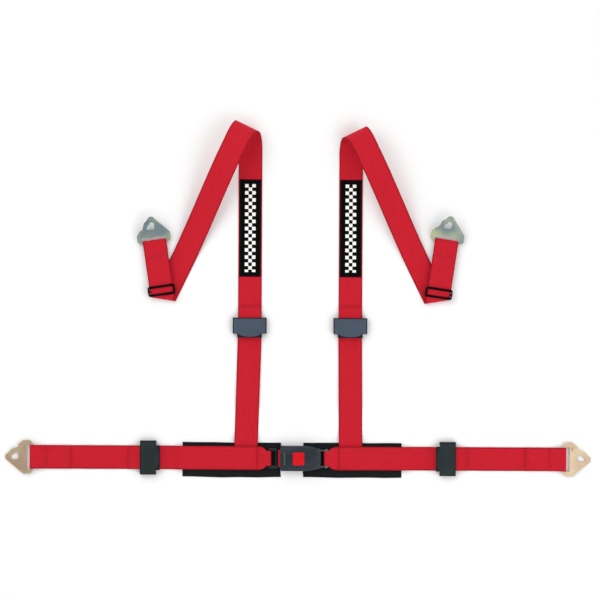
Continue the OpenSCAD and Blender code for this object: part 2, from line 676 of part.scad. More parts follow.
module shell_screws() {
    color([0.4, 0.4, 0.42]) translate([0, lap_y, 0]) for (p = screw_places) translate([p[0], p[1], 0]) union() {
        translate([0, 0, buckle_z + 0.3]) cylinder(h = 1.3, r = 2);
        translate([0, 0, buckle_z + 1.6]) cylinder(h = shell_split - buckle_z + 3, r = screw_r);
    }
}

module tongue() {
    head_end = -front_x + 4.2;
    bar = hook_bar / 2;
    color([0.8, 0.81, 0.83]) translate([0, lap_y, belt_z - tongue_t / 2]) difference() {
        union() {
            translate([-(tongue_bar_x + bar + head_end) / 2, 0, 0]) linear_extrude(tongue_t)
                rounded_plate(tongue_bar_x + bar - head_end, tongue_w, 5);
            translate([-head_end - 2, -blade_w / 2, 0]) cube([head_end + 2 + blade_nose_x, blade_w, tongue_t]);
        }
        translate([-tongue_bar_x + bar + tongue_slot / 2, 0, -1]) linear_extrude(tongue_t + 2)
            rounded_plate(tongue_slot, loop_w + 2, 2);
        translate([-22, -7, -1]) cube([9, 14, tongue_t + 2]);
    }
}

// ---------- Nodes ----------

buckle_base();
buckle_lower_shell();
buckle_cover();
mouth_insert();
release_button();
latch_leaf();
latch_rivets();
ejector();
ejector_spring();
anchor_bar();
shell_screws();
tongue();
for (side = ["left", "right"]) {
    lap_pad(side);
    belt_loop(side);
    lap_webbing_inner(side);
    lap_webbing_outer(side);
    shoulder_webbing_lower(side);
    shoulder_webbing_upper(side);
    shoulder_patch(side);
    lap_adjuster_frame(side);
    lap_adjuster_cover(side);
    lap_lock_bar(side);
    shoulder_adjuster_frame(side);
    shoulder_adjuster_cover(side);
    shoulder_lock_bar(side);
    lap_hook_plate(side);
    lap_hook_gate(side);
    lap_hook_rivet(side);
    shoulder_hook_plate(side);
    shoulder_hook_gate(side);
    shoulder_hook_rivet(side);
    three_bar_slide(side);
}
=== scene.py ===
"""A four-point racing harness of red webbing, laid out flat with its shoulder straps folded back."""
import json
import math

import bmesh
import bpy
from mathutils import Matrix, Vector, noise
from mathutils.bvhtree import BVHTree


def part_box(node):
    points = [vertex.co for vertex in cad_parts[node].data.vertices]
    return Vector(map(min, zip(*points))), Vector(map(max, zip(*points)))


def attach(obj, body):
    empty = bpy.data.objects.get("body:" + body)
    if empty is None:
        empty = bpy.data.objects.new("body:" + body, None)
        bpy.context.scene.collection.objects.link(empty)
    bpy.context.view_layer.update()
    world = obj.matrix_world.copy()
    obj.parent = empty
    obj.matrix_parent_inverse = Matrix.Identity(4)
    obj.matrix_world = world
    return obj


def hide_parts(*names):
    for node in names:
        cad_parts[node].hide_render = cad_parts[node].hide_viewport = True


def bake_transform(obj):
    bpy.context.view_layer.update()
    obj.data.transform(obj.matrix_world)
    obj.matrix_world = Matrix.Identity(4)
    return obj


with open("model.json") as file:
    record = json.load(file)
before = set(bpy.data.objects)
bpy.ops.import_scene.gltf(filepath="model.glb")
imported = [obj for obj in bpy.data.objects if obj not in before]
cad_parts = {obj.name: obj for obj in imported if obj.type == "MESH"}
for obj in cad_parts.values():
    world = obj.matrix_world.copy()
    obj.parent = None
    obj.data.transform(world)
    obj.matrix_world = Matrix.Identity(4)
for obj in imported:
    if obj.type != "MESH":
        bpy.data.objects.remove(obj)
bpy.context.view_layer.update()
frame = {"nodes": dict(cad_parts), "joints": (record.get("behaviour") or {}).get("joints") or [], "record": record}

# ---------------------------------------------------------------------------
# Webbing: 50 mm polyester, woven flat in a fine herringbone with a turned selvedge, dyed red.
# Each length is cut, its ends are looped round a metal bar, and the loop is sewn down.

MM = 0.001
WEB_W = 50 * MM
WEB_T = 1.5 * MM
PITCH = 1.6 * MM
FLOOR_Z = 0.8 * MM
SIDES = {"left": -1, "right": 1}
body_of = {node: body for body, nodes in frame["record"]["behaviour"]["bodies"].items() for node in nodes}
pivot = {j["name"]: Vector(j["pos_m"]) for j in frame["joints"] if "pos_m" in j}


def add(tree, kind, inputs=None, **attributes):
    """A node of that kind, with attributes set and its inputs set or linked."""
    node = tree.nodes.new("ShaderNode" + kind)
    for name, value in attributes.items():
        setattr(node, name, value)
    for name, value in (inputs or {}).items():
        if isinstance(value, bpy.types.NodeSocket):
            tree.links.new(value, node.inputs[name])
        else:
            node.inputs[name].default_value = value
    return node


def srgb(code, alpha=1.0):
    """The linear colour of an sRGB hex code."""
    channels = [int(code[i:i + 2], 16) / 255 for i in (0, 2, 4)]
    return (*[c / 12.92 if c <= 0.04045 else ((c + 0.055) / 1.055) ** 2.4 for c in channels], alpha)


def mixed(tree, share, first, second):
    """A colour between two, each a colour or a socket, by a share."""
    node = tree.nodes.new("ShaderNodeMix")
    node.data_type = "RGBA"
    tree.links.new(share, node.inputs["Factor"])
    for name, value in (("A", first), ("B", second)):
        socket = [i for i in node.inputs if i.name == name and i.type == "RGBA"][0]
        if isinstance(value, bpy.types.NodeSocket):
            tree.links.new(value, socket)
        else:
            socket.default_value = value
    return [o for o in node.outputs if o.type == "RGBA"][0]


def new_material(name):
    """An empty material, its node tree and its Principled shader."""
    material = bpy.data.materials.new(name)
    material.use_nodes = True
    tree = material.node_tree
    return material, tree, tree.nodes["Principled BSDF"]


def polyester_webbing():
    """Polyester yarn has a soft sheen. The ribs are drawn at 1.5 mm, about twice their real pitch, so they show."""
    material, tree, shader = new_material("red_polyester_webbing")
    place = add(tree, "UVMap", uv_map="weave").outputs["UV"]
    split = add(tree, "SeparateXYZ", {"Vector": place})
    across = add(tree, "Math", {0: split.outputs["X"]}, operation="ABSOLUTE").outputs[0]
    selvedge = add(tree, "MapRange", {"Value": across, "From Min": 0.0222, "From Max": 0.0235}).outputs[0]
    lines = add(tree, "Math", {0: across, 1: 1140.0}, operation="MULTIPLY").outputs[0]
    panel = add(tree, "Math", {0: lines}, operation="COSINE").outputs[0]
    shifted = add(tree, "Math", {0: split.outputs["Y"], 1: across}, operation="ADD").outputs[0]
    ribs = add(tree, "Math", {0: shifted, 1: 4190.0}, operation="MULTIPLY").outputs[0]
    rib = add(tree, "Math", {0: ribs}, operation="SINE").outputs[0]
    yarn_in = add(tree, "Math", {0: split.outputs["X"], 1: 5200.0}, operation="MULTIPLY").outputs[0]
    yarn = add(tree, "Math", {0: yarn_in}, operation="SINE").outputs[0]
    stretched = add(tree, "Mapping", {"Vector": place, "Scale": (40.0, 9.0, 1.0)}).outputs[0]
    cloud = add(tree, "TexNoise", {"Vector": stretched, "Scale": 1.0, "Detail": 4.0}).outputs["Fac"]
    warm = mixed(tree, cloud, srgb("C3182A"), srgb("CF1A2D"))
    tint = add(tree, "MapRange", {"Value": panel, "From Min": -1.0, "From Max": 1.0, "To Min": 0.0,
                                  "To Max": 0.12}).outputs[0]
    lined = mixed(tree, tint, warm, srgb("A80D1A"))
    edge = add(tree, "Math", {0: selvedge, 1: 0.55}, operation="MULTIPLY").outputs[0]
    tree.links.new(mixed(tree, edge, lined, srgb("8F0A15")), shader.inputs["Base Color"])
    relief = add(tree, "Math", {0: rib, 1: yarn}, operation="MULTIPLY").outputs[0]
    height = add(tree, "Math", {0: relief, 1: panel}, operation="ADD").outputs[0]
    bump = add(tree, "Bump", {"Height": height, "Strength": 0.55, "Distance": 0.00035})
    tree.links.new(bump.outputs[0], shader.inputs["Normal"])
    shader.inputs["Roughness"].default_value = 0.62
    shader.inputs["Sheen Weight"].default_value = 0.05
    shader.inputs["Sheen Roughness"].default_value = 0.4
    shader.inputs["Sheen Tint"].default_value = srgb("FF5A50")
    shader.inputs["Specular IOR Level"].default_value = 0.12
    return material


WEBBING = polyester_webbing()


def eased(rings, step=4 * MM):
    """The same run with its bends rounded, as stiff webbing lies, and a ring every few millimetres."""
    ends = [rings[0], *rings, rings[-1]]
    smooth = []
    for a, b, c, d in zip(ends, ends[1:], ends[2:], ends[3:]):
        count = max(1, round((c[0] - b[0]).length / step))
        for i in range(count):
            t = i / count
            ring = []
            for p, q, r, s in zip(a, b, c, d):
                # Tangents are scaled to the stretch so that a long one doesn't overshoot
                span = (r - q).length or 1.0
                m0 = (r - p) * min(1.0, span / ((r - p).length or 1.0))
                m1 = (s - q) * min(1.0, span / ((s - q).length or 1.0))
                ring.append((2 * t**3 - 3 * t**2 + 1) * q + (t**3 - 2 * t**2 + t) * m0
                            + (3 * t**2 - 2 * t**3) * r + (t**3 - t**2) * m1)
            smooth.append(tuple(ring))
    return smooth + [rings[-1]]


def ribbon(name, rings, columns=10, thickness=WEB_T, material=None):
    """A woven strip along the rings, extruded ring by ring, with its width and length in metres as UVs."""
    bm = bmesh.new()
    weave = bm.loops.layers.uv.new("weave")
    middle, half = rings[0]
    row = [bm.verts.new(middle + half * (2 * i / columns - 1)) for i in range(columns + 1)]
    edges = [bm.edges.new(pair) for pair in zip(row, row[1:])]
    place = {v: ((2 * i / columns - 1) * half.length, 0.0) for i, v in enumerate(row)}
    along = 0.0
    for (before, _), (middle, half) in zip(rings, rings[1:]):
        along += (middle - before).length
        made = bmesh.ops.extrude_edge_only(bm, edges=edges)["geom"]
        new_edges = [e for e in made if isinstance(e, bmesh.types.BMEdge)]
        following = {}
        for face in (f for f in made if isinstance(f, bmesh.types.BMFace)):
            for e in face.edges:
                ends = [v in place for v in e.verts]
                if ends.count(True) == 1:
                    old, new = e.verts if ends[0] else reversed(e.verts)
                    following[old] = new
        row = [following[v] for v in row]
        for i, v in enumerate(row):
            v.co = middle + half * (2 * i / columns - 1)
            place[v] = ((2 * i / columns - 1) * half.length, along)
        edges = [e for e in new_edges if e.verts[0] in row and e.verts[1] in row]
    for face in bm.faces:
        face.smooth = True
        for loop in face.loops:
            loop[weave].uv = place[loop.vert]
    bmesh.ops.recalc_face_normals(bm, faces=bm.faces)
    mesh = bpy.data.meshes.new(name)
    bm.to_mesh(mesh)
    bm.free()
    piece = bpy.data.objects.new(name, mesh)
    bpy.context.collection.objects.link(piece)
    thick = piece.modifiers.new("cloth thickness", "SOLIDIFY")
    thick.thickness = thickness
    thick.offset = 0
    mesh.materials.append(material or WEBBING)
    return piece


def arc(centre, radius, start, end, steps=12):
    """Points of a bend round a bar, in a side view: distance along the strap and height."""
    angles = [math.radians(start + (end - start) * i / steps) for i in range(steps + 1)]
    return [(centre[0] + radius * math.cos(a), centre[1] + radius * math.sin(a)) for a in angles]


def ripple(rings, start, end, rise, waves):
    """The rings with a slight lift between two distances along them, as a length of webbing never lies dead flat."""
    out = []
    for middle, half in rings:
        along = max(0.0, min(1.0, ((middle.xy - start.xy).dot((end - start).xy)) / (end - start).xy.length_squared))
        lift = rise * math.sin(math.pi * along) ** 2 * (1 - math.cos(2 * math.pi * waves * along)) / 2
        out.append((middle + Vector((0, 0, lift)), half))
    return out


# ---------------------------------------------------------------------------
# Stitching: bonded thread, sewn in short lock stitches in the webbing's own red.
# A row of stitches is one mesh of little pads of thread, each pulled into the weave at its ends.

STITCH = 3.4 * MM


def bonded_thread(name, code):
    """Bonded nylon thread has a waxy gloss, and its twist shows as fine slanting lines."""
    material, tree, shader = new_material(name)
    place = add(tree, "TexCoord").outputs["Object"]
    twist = add(tree, "TexWave", {"Vector": place, "Scale": 900.0, "Distortion": 1.0}, bands_direction="DIAGONAL")
    share = add(tree, "Math", {0: twist.outputs["Fac"], 1: 0.3}, operation="MULTIPLY").outputs[0]
    tree.links.new(mixed(tree, share, srgb(code), srgb("0C0203")), shader.inputs["Base Color"])
    bump = add(tree, "Bump", {"Height": twist.outputs["Fac"], "Strength": 0.4, "Distance": 0.0001})
    tree.links.new(bump.outputs[0], shader.inputs["Normal"])
    shader.inputs["Roughness"].default_value = 0.4
    return material


RED_THREAD = bonded_thread("red_bonded_thread", "9C0F1C")
BLACK_THREAD = bonded_thread("black_bonded_thread", "17171A")


def stitches(name, rows, body, material=None, radius=0.42 * MM):
    """Rows of stitches, each row a list of points on the cloth, as one piece that rides on the body."""
    bm = bmesh.new()
    for row in rows:
        for start, end in zip(row, row[1:]):
            span = end - start
            count = max(1, round(span.length / STITCH))
            turn = span.to_track_quat("X", "Z").to_matrix().to_4x4()
            for i in range(count):
                made = bmesh.ops.create_icosphere(bm, subdivisions=1, radius=radius)["verts"]
                bmesh.ops.scale(bm, verts=made, vec=(0.42 * STITCH / radius, 1.0, 0.75))
                bmesh.ops.transform(bm, verts=made, matrix=turn)
                bmesh.ops.translate(bm, verts=made, vec=start + span * (i + 0.5) / count)
    for face in bm.faces:
        face.smooth = True
    mesh = bpy.data.meshes.new(name)
    bm.to_mesh(mesh)
    bm.free()
    mesh.materials.append(material or RED_THREAD)
    piece = bpy.data.objects.new(name, mesh)
    bpy.context.collection.objects.link(piece)
    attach(piece, body)
    return piece


def sewn_box(middle, length_dir, cross_dir, length, width):
    """The row of a box of stitching."""
    a, b = length_dir * length / 2, cross_dir * width / 2
    return [[middle - a - b, middle + a - b, middle + a + b, middle - a + b, middle - a - b]]


# ---------------------------------------------------------------------------
# Lap belt, outer lengths: one end looped and sewn on the adjuster's fixed bar, the other on the hook.

LAP_Y = pivot["lap_strap_swing_right"].y
LOOP_FIXED = pivot["lap_strap_swing_right"].z - FLOOR_Z
LOOP_HOOK = pivot["lap_hook_swing_right"].z - FLOOR_Z
ACROSS_Y = Vector((0, 1, 0))
LIFT_STITCH = 0.15 * MM


def lap_rings(k, side_view, width=WEB_W):
    """Rings of a lap strap on side k from its side view."""
    return [(Vector((k * s, LAP_Y, z)), Vector((0, width / 2, 0))) for s, z in side_view]


for side, k in SIDES.items():
    bar = abs(pivot[f"lap_strap_swing_{side}"].x)
    hook = abs(pivot[f"lap_hook_swing_{side}"].x)
    view = [(bar + 29 * MM, FLOOR_Z + PITCH), (bar + 23 * MM, FLOOR_Z + PITCH)]
    view += arc((bar, FLOOR_Z + LOOP_FIXED), LOOP_FIXED, 90, 270)
    view += [(bar + 24 * MM, FLOOR_Z), (bar + 34 * MM, FLOOR_Z), (hook - 86 * MM, FLOOR_Z), (hook - 24 * MM, FLOOR_Z)]
    view += arc((hook, FLOOR_Z + LOOP_HOOK), LOOP_HOOK, -90, 90)
    view += [(hook - 26 * MM, FLOOR_Z + PITCH), (hook - 83 * MM, FLOOR_Z + PITCH)]
    rings = eased(lap_rings(k, view))
    rings = ripple(rings, Vector((k * (bar + 36 * MM), 0, 0)), Vector((k * (hook - 88 * MM), 0, 0)), 1.6 * MM, 2)
    strap = ribbon(f"outer_lap_strap_{side}", rings)
    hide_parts(f"lap_webbing_outer_{side}")
    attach(strap, f"lap_strap_{side}")
    top = FLOOR_Z + PITCH + WEB_T / 2 + LIFT_STITCH
    sewn = [[Vector((k * (bar + d), LAP_Y - 22 * MM, top)), Vector((k * (bar + d), LAP_Y + 22 * MM, top))]
            for d in (24.5 * MM, 27 * MM)]
    sewn += [[Vector((k * (hook - d), LAP_Y - 22 * MM, top)), Vector((k * (hook - d), LAP_Y + 22 * MM, top))]
             for d in (29 * MM, 31.5 * MM, 78 * MM, 80.5 * MM)]
    stitches(f"outer_lap_stitching_{side}", sewn, f"lap_strap_{side}")

# ---------------------------------------------------------------------------
# Lap belt, inner lengths: over the pad, round the knurled lock bar, and back beneath as a loose tail.
# The webbing feeds round the bar as the adjuster slides; here it rides on no body and stays where it lies.

PAD_T = 4 * MM
LOCK_LOOP = 4.35 * MM
LOCK_TO_FIXED = 23 * MM
TAIL = 120 * MM
BELT_END = 87 * MM


def layer(k):
    """Height of the middle of the k-th layer of webbing that lies on a pad."""
    return PAD_T + 0.05 * MM + WEB_T / 2 + PITCH * k


for side, k in SIDES.items():
    root = body_of[f"lap_webbing_inner_{side}"]
    lock = abs(pivot[f"lap_strap_swing_{side}"].x) - LOCK_TO_FIXED
    low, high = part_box(f"lap_pad_{side}")
    pad_out = max(abs(low.x), abs(high.x)) + 3 * MM
    view = [(lock - TAIL, layer(0)), (pad_out, layer(0)), (pad_out + 14 * MM, FLOOR_Z)]
    view += arc((lock, FLOOR_Z + LOCK_LOOP), LOCK_LOOP, -90, 90)
    view += [(lock - 24 * MM, FLOOR_Z + PITCH), (pad_out + 14 * MM, FLOOR_Z + PITCH + 0.1 * MM),
             (pad_out, layer(1) + 0.1 * MM), (150 * MM, layer(1) + 0.1 * MM), (130 * MM, layer(3)),
             (BELT_END, layer(3))]
    rings = eased(lap_rings(k, view))
    strap = ribbon(f"inner_lap_strap_{side}", rings)
    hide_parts(f"lap_webbing_inner_{side}")
    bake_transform(strap)
    top = layer(3) + WEB_T / 2 + LIFT_STITCH
    sewn = sewn_box(Vector((k * 108 * MM, LAP_Y, top)), Vector((k, 0, 0)), ACROSS_Y, 38 * MM, 43 * MM)
    stitches(f"belt_joint_stitching_{side}", sewn, root)

# ---------------------------------------------------------------------------
# Belt loops: webbing folded to about 31 mm so that it passes the slot of the tongue or the buckle.

LOOP_W = 31 * MM
LOOP_START = 128 * MM
BELT_Z = 11.5 * MM
EAR_REACH = 5.4 * MM
BELT_BARS = {"left": (61.5 * MM, 3.85 * MM), "right": (60 * MM, 4.05 * MM)}


def narrowing(k, bar, radius, above):
    """Rings of one run of a belt loop, from its wide end to its bar, where it stays narrow between the ears."""
    start_z = layer(2 if above else 1)
    end_z = BELT_Z + (radius if above else -radius)
    rings = [(Vector((k * LOOP_START, LAP_Y, start_z)), Vector((0, WEB_W / 2, 0)))]
    wide = BELT_END - 2 * MM
    steps = [(wide + (bar + EAR_REACH - wide) * i / 9, max(0.0, math.cos(math.radians(10 * i))) ** 0.65)
             for i in range(10)]
    for s, share in (*steps, (bar, 0.0)):
        t = (wide - s) / (wide - bar)
        rings.append((Vector((k * s, LAP_Y, start_z + (end_z - start_z) * t)),
                      Vector((0, (LOOP_W + (WEB_W - LOOP_W) * share) / 2, 0))))
    return rings


for side, k in SIDES.items():
    bar, radius = BELT_BARS[side]
    turn = [(Vector((k * s, LAP_Y, z)), Vector((0, LOOP_W / 2, 0)))
            for s, z in arc((bar, BELT_Z), radius, 90, 270)[1:-1]]
    rings = narrowing(k, bar, radius, True) + turn + narrowing(k, bar, radius, False)[::-1]
    loop = ribbon(f"belt_loop_{side}", rings, columns=8)
    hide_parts(f"belt_loop_{side}")
    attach(loop, body_of[f"belt_loop_{side}"])

# ---------------------------------------------------------------------------
# Shoulder straps, lower lengths: sewn under the lap belt, up to the lock bar, and back as a loose tail.

LEAN = {"left": 7.5 * MM, "right": 2 * MM}
LOCK_Y = pivot["shoulder_strap_swing_right"].y - LOCK_TO_FIXED
PAD_TOP_Y = LAP_Y + 34 * MM

for side, k in SIDES.items():
    root = body_of[f"shoulder_webbing_lower_{side}"]
    view = [(LAP_Y - 23 * MM, layer(0)), (PAD_TOP_Y + 6 * MM, layer(0)), (PAD_TOP_Y + 20 * MM, FLOOR_Z),
            (LOCK_Y - TAIL - 48 * MM, FLOOR_Z), (LOCK_Y - TAIL - 36 * MM, FLOOR_Z + PITCH),
            (LOCK_Y - 24 * MM, FLOOR_Z + PITCH)]
    view += arc((LOCK_Y, FLOOR_Z + LOCK_LOOP), LOCK_LOOP, 90, -90)
    view += [(LOCK_Y - TAIL - 28 * MM, FLOOR_Z)]
    x, top = abs(pivot[f"shoulder_strap_swing_{side}"].x), LOCK_Y - 24 * MM
    rings = eased([(Vector((k * (x + LEAN[side] * max(0, top - y) / (top - LAP_Y)), y, z)),
                    Vector((WEB_W / 2, 0, 0))) for y, z in view])
    strap = ribbon(f"lower_shoulder_strap_{side}", rings)
    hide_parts(f"shoulder_webbing_lower_{side}")
    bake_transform(strap)

# ---------------------------------------------------------------------------
# Shoulder straps, upper lengths: looped on the adjuster, folded back on themselves in a soft open fold,
# down to a second fold, through the three-bar slide, round the hook's bar, and back under themselves.

FOLD_Y = {"left": 329.5 * MM, "right": 317.5 * MM}
FOLD_DEPTH, FOLD_RISE = 36 * MM, 26 * MM
FOLD_TILT, FOLD_SWELL = 6 * MM, 7 * MM
DIAGONAL = {"left": math.radians(64.3), "right": math.radians(63.8)}
DIAGONAL_FLAT = {"left": 66.5 * MM, "right": 58 * MM}
END_RUN = math.radians(81.5)
END_MAIN_Z = 9.75 * MM
END_LENGTH = {"left": 116 * MM, "right": 123 * MM}


def heading(angle):
    return Vector((math.cos(angle), math.sin(angle), 0))


def folded(start, inwards, outwards, side_view, tilt=0.0, swell=0.0):
    """Rings of webbing folded round an axis half way between two headings, which keeps its length.

    A loose fold also tilts, its outer edge reaching further, and swells outwards where it stands highest."""
    axis = heading((inwards + outwards) / 2)
    out = Vector((-axis.y, axis.x, 0)) * math.copysign(1, math.sin(inwards))
    u = heading(inwards)
    slant = u.dot(axis) / u.dot(out)
    half = axis * (WEB_W / 2 / u.dot(out))
    rings, s, before = [], 0.0, side_view[0]
    for n, z in side_view:
        s += math.dist((n, z), before)
        before = (n, z)
        height = (z - FLOOR_Z) / (2 * FOLD_RISE)
        middle = Vector((start.x, start.y, z)) + axis * (s * slant + swell * height) + out * n
        rings.append((middle, half + out * (tilt * max(0.0, n) / FOLD_DEPTH)))
    return rings


def upper_strap_rings(side):
    """Rings of an upper strap as if on the right, and where its end run starts and heads."""
    bar_x, bar_y = abs(pivot[f"shoulder_strap_swing_{side}"].x), pivot[f"shoulder_strap_swing_{side}"].y
    fold_y, diagonal = FOLD_Y[side], DIAGONAL[side]
    view = [(bar_y + 29 * MM, FLOOR_Z + PITCH), (bar_y + 23 * MM, FLOOR_Z + PITCH)]
    view += arc((bar_y, FLOOR_Z + LOOP_FIXED), LOOP_FIXED, 90, 270)
    view += [(bar_y + 24 * MM, FLOOR_Z), (bar_y + 40 * MM, FLOOR_Z), (fold_y - 20 * MM, FLOOR_Z)]
    rings = [(Vector((bar_x, y, z)), Vector((WEB_W / 2, 0, 0))) for y, z in view]
    turn = [math.radians(-90 + 15 * i) for i in range(13)]
    view = [(FOLD_DEPTH * math.cos(a), FLOOR_Z + FOLD_RISE * (1 + math.sin(a))) for a in turn]
    view += [(-29 * MM * i, FLOOR_Z + FOLD_RISE * (1 + math.cos(math.radians(18 * i)))) for i in range(1, 11)]
    rings += folded(Vector((bar_x, fold_y, 0)), math.pi / 2, -diagonal, view, FOLD_TILT, FOLD_SWELL)
    at = rings[-1][0] + heading(-diagonal) * DIAGONAL_FLAT[side]
    turn = [math.radians(-90 + 18 * i) for i in range(11)]
    rise = (END_MAIN_Z - FLOOR_Z) / 2
    rings += folded(at, -diagonal, END_RUN, [(6 * MM * math.cos(a), FLOOR_Z + rise * (1 + math.sin(a))) for a in turn])
    start = Vector((rings[-1][0].x, rings[-1][0].y, 0))
    run = heading(END_RUN)
    half = Vector((run.y, -run.x, 0)) * WEB_W / 2
    length = END_LENGTH[side]
    view = [(10 * MM, END_MAIN_Z)]
    view += arc((length, END_MAIN_Z - LOOP_HOOK), LOOP_HOOK, 90, -90)
    view += [(length - 30 * MM, END_MAIN_Z - PITCH), (2 * MM, END_MAIN_Z - PITCH)]
    rings += [(start + run * s + Vector((0, 0, z)), half) for s, z in view]
    return rings, start, run


for side, k in SIDES.items():
    rings, start, run = upper_strap_rings(side)
    rings = eased(rings)
    rings = [(Vector((k * c.x, c.y, c.z)), Vector((k * h.x, h.y, h.z))) for c, h in rings]
    strap = ribbon(f"upper_shoulder_strap_{side}", rings)
    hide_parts(f"shoulder_webbing_upper_{side}")
    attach(strap, f"shoulder_strap_{side}")
    bar_y = pivot[f"shoulder_strap_swing_{side}"].y
    top = FLOOR_Z + PITCH + WEB_T / 2 + LIFT_STITCH
    sewn = [[Vector((pivot[f"shoulder_strap_swing_{side}"].x - 22 * MM, bar_y + d, top)), Vector((pivot[f"shoulder_strap_swing_{side}"].x + 22 * MM, bar_y + d, top))]
            for d in (24.5 * MM, 27 * MM)]
    cross = Vector((k * run.y, -run.x, 0)) * 22 * MM
    for d in (END_LENGTH[side] - 30 * MM, END_LENGTH[side] - 33 * MM):
        middle = start + run * d
        middle = Vector((k * middle.x, middle.y, END_MAIN_Z + WEB_T / 2 + LIFT_STITCH))
        sewn.append([middle - cross, middle + cross])
    stitches(f"upper_shoulder_stitching_{side}", sewn, f"shoulder_strap_{side}")

# ---------------------------------------------------------------------------
# Lap pads: two faces of black woven textile over thin foam, closed by a seam all round.

PAD_SEAM = 6 * MM


def black_textile():
    """Plain-woven polyester is matt, with a faint sheen. The weave is drawn at 1.6 mm so that it shows."""
    material, tree, shader = new_material("black_woven_textile")
    place = add(tree, "TexCoord").outputs["Object"]
    split = add(tree, "SeparateXYZ", {"Vector": place})
    waves = []
    for axis in ("X", "Y"):
        turned = add(tree, "Math", {0: split.outputs[axis], 1: 3900.0}, operation="MULTIPLY").outputs[0]
        waves.append(add(tree, "Math", {0: turned}, operation="SINE").outputs[0])
    weave = add(tree, "Math", {0: waves[0], 1: waves[1]}, operation="MULTIPLY").outputs[0]
    dust = add(tree, "TexNoise", {"Vector": place, "Scale": 60.0, "Detail": 5.0}).outputs["Fac"]
    tree.links.new(mixed(tree, dust, srgb("0A0D0F"), srgb("15191B")), shader.inputs["Base Color"])
    bump = add(tree, "Bump", {"Height": weave, "Strength": 0.5, "Distance": 0.0004})
    tree.links.new(bump.outputs[0], shader.inputs["Normal"])
    shader.inputs["Roughness"].default_value = 0.85
    shader.inputs["Specular IOR Level"].default_value = 0.15
    shader.inputs["Sheen Weight"].default_value = 0.05
    shader.inputs["Sheen Roughness"].default_value = 0.5
    return material


TEXTILE = black_textile()


def pad_height(u, v, half_l, half_w):
    """Share of the full thickness at a point of the pad: thin at the edge and along the seam."""
    edge = min(half_l - abs(u), half_w - abs(v))
    full = min(1.0, 0.42 + 0.58 * max(0.0, edge / (16 * MM)) ** 0.5)
    groove = 0.35 * math.exp(-((edge - PAD_SEAM) / (1.6 * MM)) ** 2)
    return max(0.3, full - groove)


for side, k in SIDES.items():
    low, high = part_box(f"lap_pad_{side}")
    middle = (low + high) / 2
    half_l, half_w = (high.x - low.x) / 2, (high.y - low.y) / 2
    bm = bmesh.new()
    bmesh.ops.create_grid(bm, x_segments=110, y_segments=44, size=1.0)
    bmesh.ops.scale(bm, verts=bm.verts, vec=(half_l - 1 * MM, half_w - 1 * MM, 1.0))
    skirt = bmesh.ops.extrude_face_region(bm, geom=bm.faces[:])
    upper = {v for v in skirt["geom"] if isinstance(v, bmesh.types.BMVert)}
    for v in bm.verts:
        u, w = v.co.x, v.co.y
        share = pad_height(u, w, half_l - 1 * MM, half_w - 1 * MM)
        rumple = noise.noise(Vector((u * 28 + k * 9, w * 28, 0)))
        sway = noise.noise(Vector((u * 16, w * 16, 7.0 + k)))
        near = max(abs(u) / half_l, abs(w) / half_w) ** 6
        v.co.y += 1.6 * MM * sway * near * (1 if w > 0 else -1)
        v.co.x += 1.0 * MM * rumple * near
        v.co.z = (PAD_T * share - 0.3 * MM + 0.25 * MM * rumple) if v in upper else 0.1 * MM
        v.co += Vector((middle.x, middle.y, 0))
    for face in bm.faces:
        face.smooth = True
    bmesh.ops.recalc_face_normals(bm, faces=bm.faces)
    mesh = bpy.data.meshes.new(f"pad_{side}")
    bm.to_mesh(mesh)
    bm.free()
    mesh.materials.append(TEXTILE)
    pad = bpy.data.objects.new(f"belt_pad_{side}", mesh)
    bpy.context.collection.objects.link(pad)
    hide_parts(f"lap_pad_{side}")
    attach(pad, body_of[f"lap_pad_{side}"])
    inset_l, inset_w = half_l - PAD_SEAM - 1 * MM, half_w - PAD_SEAM - 1 * MM
    seam_z = 1.75 * MM
    corners = [Vector((middle.x + a * inset_l, middle.y + b * inset_w, seam_z))
               for a, b in ((-1, -1), (1, -1), (1, 1), (-1, 1), (-1, -1))]
    stitches(f"pad_stitching_{side}", [corners], body_of[f"lap_pad_{side}"], BLACK_THREAD)

# ---------------------------------------------------------------------------
# Woven patches on the shoulder straps: black taffeta with a plain chequered band, sewn round its edge.

CHECK = 7.6 * MM
CHECK_COLUMNS = 3


